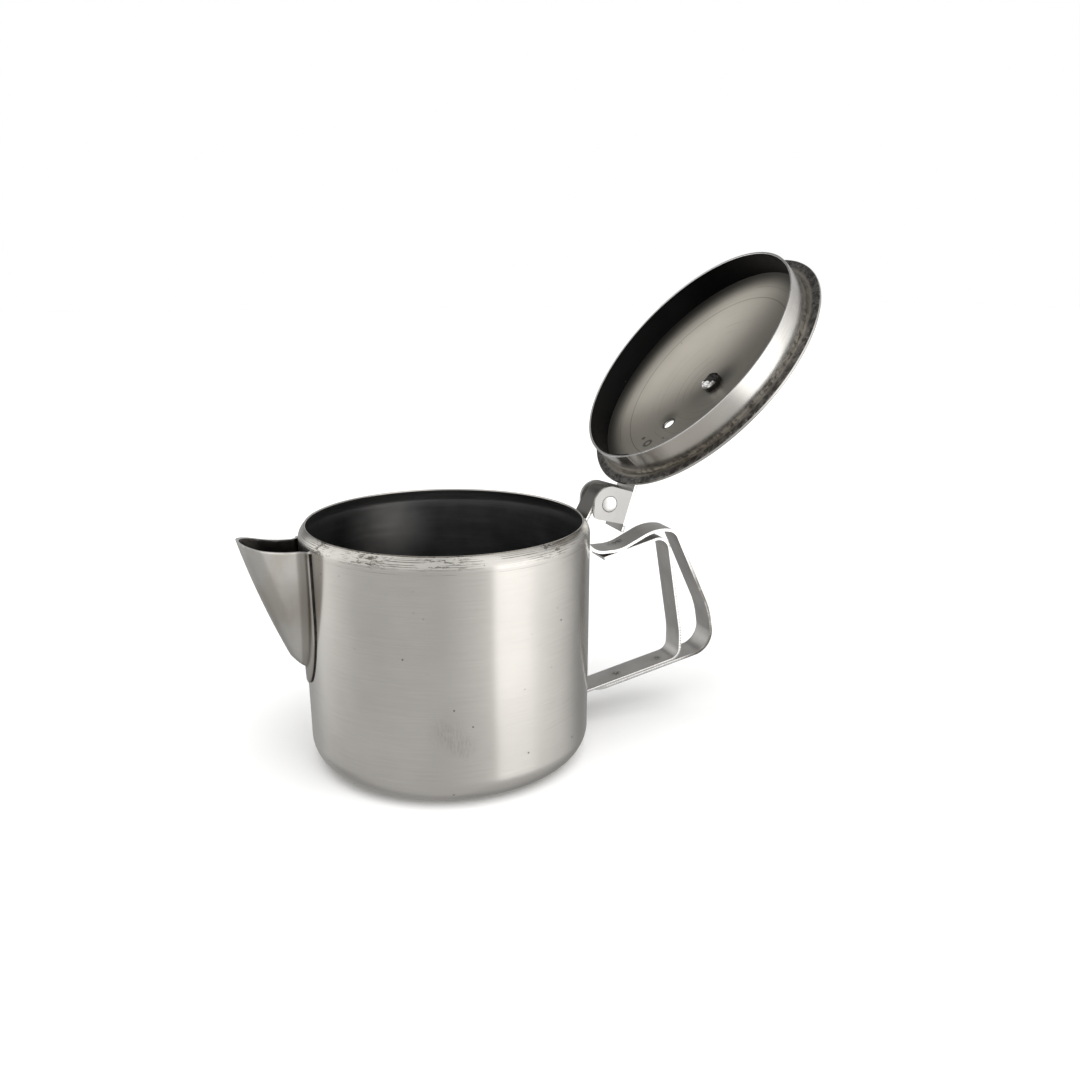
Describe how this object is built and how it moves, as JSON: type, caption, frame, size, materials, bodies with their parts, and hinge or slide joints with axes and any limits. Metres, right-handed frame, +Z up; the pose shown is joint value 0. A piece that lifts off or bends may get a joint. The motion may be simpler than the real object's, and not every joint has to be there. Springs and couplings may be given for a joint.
{
  "type": "teapot",
  "caption": "Small stainless steel cafe teapot with a pouring spout, a double strip handle and a hinged lid that swings back over the handle.",
  "frame": {"origin": "centre of the flat base, on the surface that the pot stands on", "axes": "+Z up, +X from the pot's axis towards the handle and the hinge, +Y across the pot along the hinge pin; the spout is on -X; the lid is stored open"},
  "size_m": [0.1818, 0.0918, 0.1562],
  "materials": {
    "body_steel": "fine horizontal brushing, lightly worn",
    "lid_steel": "spun, with fine concentric rings",
    "strip_steel": "satin faces and bright cut edges",
    "bright_steel": "bright, half polished"
  },
  "bodies": {
    "pot": {"body_shell": "body_steel", "spout": "body_steel", "handle_outer_strip": "strip_steel", "handle_inner_strip": "strip_steel", "hinge_pin": "bright_steel"},
    "lid": {"lid_shell": "lid_steel", "lid_skirt_ring": "bright_steel", "lid_hinge_bracket": "strip_steel", "lid_knob": "bright_steel", "knob_rivet": "bright_steel"}
  },
  "joints": [
    {"name": "lid_hinge", "type": "hinge", "parent": "pot", "child": "lid", "pos_m": [0.0535, 0, 0.0783], "axis": [0, 1, 0], "range_deg": [-131, 0]}
  ]
}
